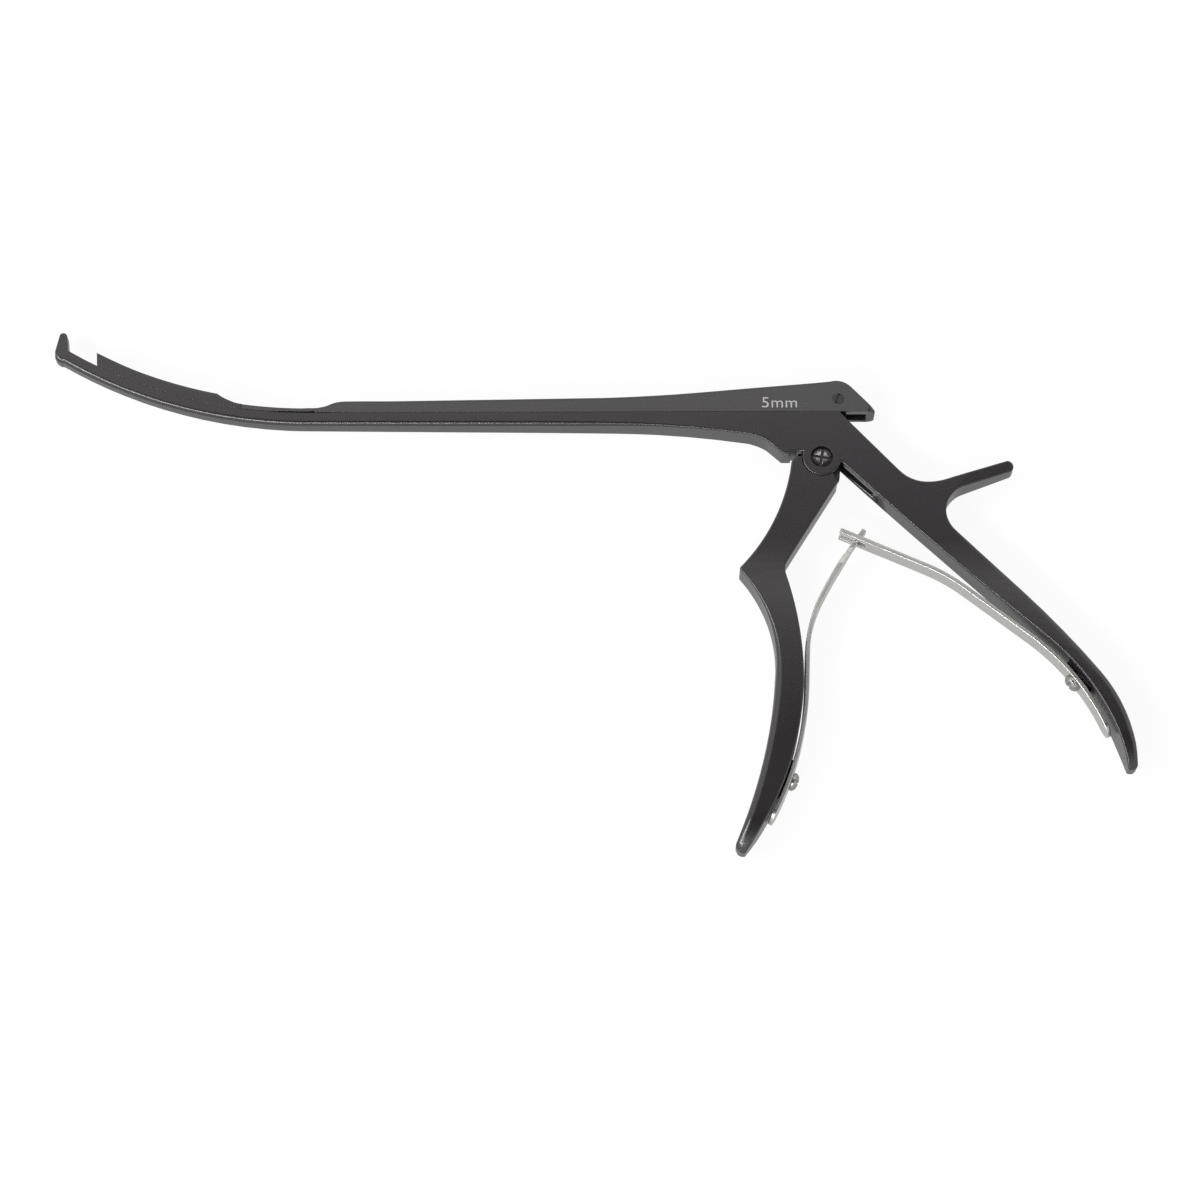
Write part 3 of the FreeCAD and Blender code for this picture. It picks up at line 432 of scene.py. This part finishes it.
class RONGEUR_OT_lower_shaft(bpy.types.Operator):
    """Lower shaft with footplate, thumb spur and rear grip"""
    bl_idname = "rongeur.lower_shaft"
    bl_label = "Lower shaft"

    def execute(self, context):
        forged_piece("lower_shaft", "body", "frame", lambda spot, edge: on_flank(spot, edge, 1.9),
                     self.radius_at)
        return {"FINISHED"}

    @staticmethod
    def radius_at(spot):
        """Edge radius in millimetres: fine at the parting and the bores, wide on the palm side and below."""
        sizes = bpy.context.scene.rongeur_sizes
        fine, plain = sizes.fine_edge / MM, sizes.edge_break / MM
        palm, under = sizes.grip_rounding / MM, sizes.shaft_rounding / MM
        reach = bend_reach(spot)
        in_bore = Vector(spot.xy).length < 3.2
        in_groove = spot.x < -5 and abs(spot.z - GRIP_HALF) < 1.8
        bent_parting = spot.x < BEND_X and reach < BEND_RADIUS + 0.6 and spot.y < 28.6
        straight_parting = BEND_X < spot.x < 4.7 and spot.y > PARTING - 0.1
        if in_bore or in_groove or bent_parting or straight_parting:
            return fine
        on_footplate = spot.x < -184 and spot.y > 28.0
        if on_footplate:
            return 0.55
        underneath = spot.x < -18 and (spot.y < 10 or reach > BEND_RADIUS + 1.6)
        if underneath:
            return plain + (under - plain) * ease(-spot.x, 18, 70)
        # The rear grip's inner side is a straight line above x = 50 and an arc below it.
        line = -1.15 - (spot.x - 4.66) * 0.9194
        arc = Vector((spot.x - 14.6, spot.y + 90.3)).length
        outer = spot.y > line + 3 if spot.x < 50 else arc > 60.6
        if spot.x > 30 and spot.y < -12 and outer:
            return plain + (palm - plain) * (ease(-spot.y, 12, 46) - 0.45 * ease(-spot.y, 68, 77))
        return plain


class RONGEUR_OT_upper_shaft(bpy.types.Operator):
    """Slide, flexible band and cutting jaw of the upper shaft"""
    bl_idname = "rongeur.upper_shaft"
    bl_label = "Upper shaft"

    def execute(self, context):
        lean = context.scene.rongeur_sizes.flank_lean
        forged_piece("slide_bar", "slide", "upper_shaft",
                     lambda spot, edge: self.on_side(spot, edge) or spot.x > 12.6,
                     self.bar_radius, lean, self.round_tail)
        forged_piece("cutting_jaw", "jaw", "cutter", self.on_side, self.jaw_radius, 0.0,
                     self.smooth_shoulder)
        band = forged_piece("spring_band", "flex_band", None, self.on_side, self.band_radius, lean,
                            self.free_band)
        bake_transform(band)
        return {"FINISHED"}

    @staticmethod
    def on_side(spot, edge):
        """True for an edge along the upper shaft's side, clear of its guide lugs and slots."""
        return on_flank(spot, edge, 2.2)

    @staticmethod
    def bar_radius(spot):
        """Edge radius of the slide in millimetres: wide along its back, less at both its ends."""
        sizes = bpy.context.scene.rongeur_sizes
        fine, back, end = sizes.fine_edge / MM, sizes.top_rounding / MM, 0.3
        if spot.x > 12.2:
            return 0.2
        if spot.x > 8.5 and spot.y > 12.1:
            return end
        in_coupling_bore = Vector((spot.x - 4.2, spot.y - 15.05)).length < 1.6
        if spot.y > 13.3 and not in_coupling_bore:
            return end + (back - end) * ease(spot.x, -116, -104) - (back - 0.35) * ease(spot.x, -2, 6)
        return fine

    @staticmethod
    def round_tail(surface):
        """Narrows the slide's last 2 mm to a round end."""
        start, length = 11.4, 2.0
        slice_across(surface, start, 13.2, 9, True)
        for vert in surface.verts:
            share = min(max(((vert.co.x - PIVOT.x) / MM - start) / length, 0.0), 1.0)
            vert.co.z = drawn_in(vert.co.z, 0.5 + 0.5 * math.sqrt(1 - share * share))

    @staticmethod
    def smooth_shoulder(surface):
        """Keeps the jaw below the smooth shoulder between the band's top and its own back."""
        foot, length, band_top, rise = -142.5, 5.9, 14.13, 2.67
        for vert in surface.verts:
            x = (vert.co.x - PIVOT.x) / MM
            if foot - length < x < foot + 0.1:
                top = band_top + rise * max((foot - x) / length, 0.0) ** 1.6
                vert.co.y = min(vert.co.y, PIVOT.y + top * MM)

    @staticmethod
    def free_band(surface):
        """Lifts the band's underside, most at its root, so that it clears the lower shaft when it bends."""
        for vert in surface.verts:
            spot = (vert.co - PIVOT) / MM
            underside = spot.y < PARTING + 0.6 if spot.x > BEND_X else bend_reach(spot) > BEND_RADIUS - 0.6
            if underside:
                vert.co.y += (0.05 + 0.28 * (1 - ease(-spot.x, 130, 137))) * MM

    @staticmethod
    def band_radius(spot):
        """Edge radius of the band in millimetres: rounded along its back."""
        back = spot.y > PARTING + 1.3 if spot.x > BEND_X else bend_reach(spot) < BEND_RADIUS - 0.8
        return 0.3 if back else bpy.context.scene.rongeur_sizes.fine_edge / MM

    @staticmethod
    def jaw_radius(spot):
        """Edge radius of the jaw in millimetres: rounded along its back, keen at the mouth."""
        if bend_reach(spot) < BEND_RADIUS - 1.3:
            return 0.3 + 0.3 * ease(-spot.x, 142, 150) - 0.5 * ease(-spot.x, 168, 177)
        return bpy.context.scene.rongeur_sizes.fine_edge / MM


class RONGEUR_OT_front_grip(bpy.types.Operator):
    """Front grip with its stop shoulder and driving lug"""
    bl_idname = "rongeur.front_grip"
    bl_label = "Front grip"

    def execute(self, context):
        forged_piece("front_grip", "front_handle", "trigger", on_flank, self.radius_at)
        return {"FINISHED"}

    @staticmethod
    def radius_at(spot):
        """Edge radius in millimetres: fine at the pivot's seat, wide on the palm side."""
        sizes = bpy.context.scene.rongeur_sizes
        fine, plain, palm = sizes.fine_edge / MM, sizes.edge_break / MM, sizes.grip_rounding / MM
        if Vector(spot.xy).length < 5.2:
            return fine
        # The palm side is an arc round a centre in front of the grip.
        palm_side = spot.y < -29 and Vector((spot.x + 79.7, spot.y + 55)).length < 72.6
        return plain + (palm - plain) * ease(-spot.y, 30, 62) if palm_side else plain


class RONGEUR_OT_leaf_springs(bpy.types.Operator):
    """Pair of crossed leaf springs"""
    bl_idname = "rongeur.leaf_springs"
    bl_label = "Leaf springs"

    def leaf(self, name, node, bodies, bend, along_x, low, high, narrow):
        """One strip, with cross cuts along it. Its narrow end gets half the rounding."""
        radius = bpy.context.scene.rongeur_sizes.leaf_break / MM
        surface = rounded(welded_copy(node, False), lambda spot, edge: True,
                          lambda spot: radius * (0.5 if narrow(spot) else 1.0), 3)
        if node == "rear_leaf_spring":
            self.deepen_fork(surface)
        # Cross cuts every 1.5 mm let the strip bend evenly.
        slice_across(surface, low, high, int((high - low) / 1.5), along_x)
        piece = make_piece(name, surface, ["satin_spring_steel"], [node])
        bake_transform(piece)

    @staticmethod
    def deepen_fork(surface):
        """Moves the fork's root back a millimetre, so that the tongue never reaches it."""
        back = Vector((0.92, -0.39, 0.0)) * MM
        for vert in surface.verts:
            spot = (vert.co - PIVOT) / MM
            if 8.8 < spot.x < 10.6 and abs(spot.z - GRIP_HALF) < 2.0:
                vert.co += back

    def execute(self, context):
        self.leaf("rear_leaf", "rear_leaf_spring", ("frame", "rear_leaf"),
                  (at(58, -52, GRIP_HALF), at(32, -29, GRIP_HALF)), True, 3.0, 70.0,
                  lambda spot: spot.x < 13)
        self.leaf("front_leaf", "front_leaf_spring", ("trigger", "front_leaf"),
                  (at(-5, -62, GRIP_HALF), at(-1.5, -36, GRIP_HALF)), False, -93.0, -15.0,
                  lambda spot: spot.y > -30)
        return {"FINISHED"}


class RONGEUR_OT_screws(bpy.types.Operator):
    """Pivot screw, coupling screw and the two leaf screws"""
    bl_idname = "rongeur.screws"
    bl_label = "Screws"

    def screw(self, name, node, body, finishes, slot):
        """One screw with lightly broken edges. A second, dark finish goes into the recess of its head as
        painted shade.
        """
        surface = rounded(welded_copy(node, False), lambda spot, edge: True, lambda spot: 0.07, 3)
        # The head's recess, 0.15 to 1.2 mm below the crown, takes the second finish as painted shade.
        if len(finishes) > 1:
            crown = max(vert.co.z for vert in surface.verts)
            for face in surface.faces:
                if 0.15 * MM < crown - face.calc_center_median().z < 1.2 * MM:
                    face.material_index = 1
        piece = make_piece(name, surface, finishes, [node])
        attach(piece, body)

    def execute(self, context):
        steel, coating = "turned_screw_steel", "black_satin_coating_and_recess_shade"
        # The pivot screw's recess takes the black coating as painted shade, not as a real coating.
        self.screw("pivot_bolt", "pivot_screw", "frame", [steel, coating], "spring_steel")
        self.screw("coupling_bolt", "coupling_screw", "upper_shaft", [coating], "coated_steel")
        self.screw("rear_leaf_bolt", "rear_leaf_screw", "frame", [steel], "spring_steel")
        self.screw("front_leaf_bolt", "front_leaf_screw", "trigger", [steel], "spring_steel")
        return {"FINISHED"}


class RONGEUR_OT_size_mark(bpy.types.Operator):
    """Etched bite size on the side of the upper shaft"""
    bl_idname = "rongeur.size_mark"
    bl_label = "Size mark"

    def execute(self, context):
        sizes = context.scene.rongeur_sizes
        words = bpy.data.curves.new("size_mark_words", "FONT")
        words.body = "5mm"
        # A figure is 0.69 of the font's size.
        words.size = sizes.mark_height / 0.69
        words.space_character = 1.08
        words.extrude = 0.01 * MM
        holder = bpy.data.objects.new("size_mark_holder", words)
        context.scene.collection.objects.link(holder)
        context.view_layer.update()
        graph = context.evaluated_depsgraph_get()
        mesh = bpy.data.meshes.new_from_object(holder.evaluated_get(graph))
        bpy.data.objects.remove(holder)
        left = min(vert.co.x for vert in mesh.vertices)
        right = max(vert.co.x for vert in mesh.vertices)
        mark_length, above = 8.6 * MM, 0.012 * MM
        mesh.transform(Matrix.Translation((-left, 0, 0)))
        mesh.transform(Matrix.Diagonal((mark_length / (right - left), 1, 1, 1)))
        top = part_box("slide")[1].z
        mesh.transform(Matrix.Translation(at(-14.5, 12.75) + Vector((0, 0, top + above))))
        for vert in mesh.vertices:
            vert.co.z = leaned(vert.co, sizes.flank_lean)
        mesh.name = "size_mark"
        piece = bpy.data.objects.new("size_mark", mesh)
        context.scene.collection.objects.link(piece)
        mesh.materials.clear()
        mesh.materials.append(finish_named("etched_mark"))
        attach(piece, "upper_shaft")
        return {"FINISHED"}


class RONGEUR_OT_stage(bpy.types.Operator):
    """White paper, soft lamps and the camera"""
    bl_idname = "rongeur.stage"
    bl_label = "Studio stage"

    def execute(self, context):
        scene = context.scene
        self.floor(scene)
        self.room(scene)
        self.lamp(scene, "back_softbox", (-0.05, 0.55, 0.95), (0.9, 0.3), 1.25)
        self.lamp(scene, "front_strip", (-0.4, -0.6, 0.72), (0.75, 0.08), 5.0)
        self.lamp(scene, "left_softbox", (-0.72, -0.1, 0.72), (0.5, 0.36), 5.0)
        self.camera(scene)
        scene.view_settings.view_transform = "Standard"
        return {"FINISHED"}

    def floor(self, scene):
        """White paper that the camera and the steel see as white, and that takes the tool's shadow."""
        paper = new_material("white_paper")
        tree = paper.node_tree
        tone = tuple(scene.rongeur_colours.paper) + (1.0,)
        matt = add(tree, "ShaderNodeBsdfDiffuse", {"Color": tone})
        rays = add(tree, "ShaderNodeLightPath")
        # The steel mirrors the paper in the tool's own shade, dimmer than the camera sees it.
        shade = add(tree, "ShaderNodeMapRange", {"To Min": 1.0, "To Max": 0.62},
                    {"Value": rays.outputs["Is Glossy Ray"]})
        glow = add(tree, "ShaderNodeEmission", {"Color": (1.0, 1.0, 1.0, 1.0)},
                   {"Strength": shade.outputs[0]})
        seen = add(tree, "ShaderNodeMath", {"operation": "ADD", "use_clamp": True},
                   {0: rays.outputs["Is Camera Ray"], 1: rays.outputs["Is Glossy Ray"]})
        seen_too = add(tree, "ShaderNodeMath", {"operation": "ADD", "use_clamp": True},
                       {0: seen.outputs[0], 1: rays.outputs["Is Transmission Ray"]})
        share = add(tree, "ShaderNodeMath", {"operation": "MULTIPLY", 1: 0.93}, {0: seen_too.outputs[0]})
        blend = add(tree, "ShaderNodeMixShader", None,
                    {0: share.outputs[0], 1: matt.outputs[0], 2: glow.outputs[0]})
        add(tree, "ShaderNodeOutputMaterial", None, {"Surface": blend.outputs[0]})
        sheet = bmesh.new()
        bmesh.ops.create_grid(sheet, x_segments=1, y_segments=1, size=2.5)
        mesh = bpy.data.meshes.new("paper_floor")
        sheet.to_mesh(mesh)
        sheet.free()
        mesh.materials.append(paper)
        floor = bpy.data.objects.new("paper_floor", mesh)
        scene.collection.objects.link(floor)

    def room(self, scene):
        """A dim ceiling that the flat sides mirror, and white walls that the edges mirror."""
        world = bpy.data.worlds.new("studio_room")
        scene.world = world
        world.use_nodes = True
        tree = world.node_tree
        tree.nodes.clear()
        ways = add(tree, "ShaderNodeTexCoord")
        parts = add(tree, "ShaderNodeSeparateXYZ", None, {0: ways.outputs["Generated"]})
        rise = add(tree, "ShaderNodeMapRange",
                   {"From Min": 0.6, "From Max": 0.9, "To Min": 0.95, "To Max": 0.04,
                    "interpolation_type": "SMOOTHSTEP"},
                   {"Value": parts.outputs["Z"]})
        room = add(tree, "ShaderNodeBackground", {"Color": (1.0, 1.0, 1.0, 1.0)},
                   {"Strength": rise.outputs[0]})
        white = add(tree, "ShaderNodeBackground", {"Color": (1.0, 1.0, 1.0, 1.0), "Strength": 1.0})
        rays = add(tree, "ShaderNodeLightPath")
        mix = add(tree, "ShaderNodeMixShader", None,
                  {0: rays.outputs["Is Camera Ray"], 1: room.outputs[0], 2: white.outputs[0]})
        add(tree, "ShaderNodeOutputWorld", None, {"Surface": mix.outputs[0]})

    def camera(self, scene):
        """The photograph's view, from 73 degrees above the paper and a metre away."""
        camera = bpy.data.cameras.new("photo_camera")
        camera.sensor_width = 36.0
        camera.lens = 123.97
        camera.clip_start, camera.clip_end = 0.05, 10.0
        eye = bpy.data.objects.new("photo_camera", camera)
        eye.location = at(-54.28, -329.08, 965.80)
        eye.rotation_euler = (math.radians(90 - 73), 0.0, 0.0)
        scene.collection.objects.link(eye)
        scene.camera = eye

    def lamp(self, scene, name, place, sides, power):
        """A rectangular lamp at a place in metres, turned to the tool."""
        light = bpy.data.lights.new(name, "AREA")
        light.shape = "RECTANGLE"
        light.size, light.size_y = sides
        light.energy = power
        holder = bpy.data.objects.new(name, light)
        holder.location = place
        holder.rotation_euler = (-Vector(place)).to_track_quat("-Z", "Y").to_euler()
        scene.collection.objects.link(holder)


class RONGEUR_PT_pieces(bpy.types.Panel):
    bl_idname = "RONGEUR_PT_pieces"
    bl_label = "Bone rongeur"
    bl_space_type = "VIEW_3D"
    bl_region_type = "UI"
    bl_category = "Rongeur"

    def draw(self, context):
        layout = self.layout
        for group in (context.scene.rongeur_sizes, context.scene.rongeur_colours):
            for name in group.__annotations__:
                layout.prop(group, name)
        for operator in OPERATORS:
            layout.operator(operator.bl_idname)


OPERATORS = (
    RONGEUR_OT_stage,
    RONGEUR_OT_lower_shaft,
    RONGEUR_OT_upper_shaft,
    RONGEUR_OT_front_grip,
    RONGEUR_OT_leaf_springs,
    RONGEUR_OT_screws,
    RONGEUR_OT_size_mark,
)
CLASSES = (RongeurSizes, RongeurColours, *OPERATORS, RONGEUR_PT_pieces)


def register():
    for item in CLASSES:
        bpy.utils.register_class(item)
    bpy.types.Scene.rongeur_sizes = bpy.props.PointerProperty(type=RongeurSizes)
    bpy.types.Scene.rongeur_colours = bpy.props.PointerProperty(type=RongeurColours)


def unregister():
    del bpy.types.Scene.rongeur_sizes
    del bpy.types.Scene.rongeur_colours
    for item in reversed(CLASSES):
        bpy.utils.unregister_class(item)


def main():
    register()
    bpy.ops.rongeur.stage()
    bpy.ops.rongeur.lower_shaft()
    bpy.ops.rongeur.upper_shaft()
    bpy.ops.rongeur.front_grip()
    bpy.ops.rongeur.leaf_springs()
    bpy.ops.rongeur.screws()
    bpy.ops.rongeur.size_mark()


if __name__ == "__main__":
    main()
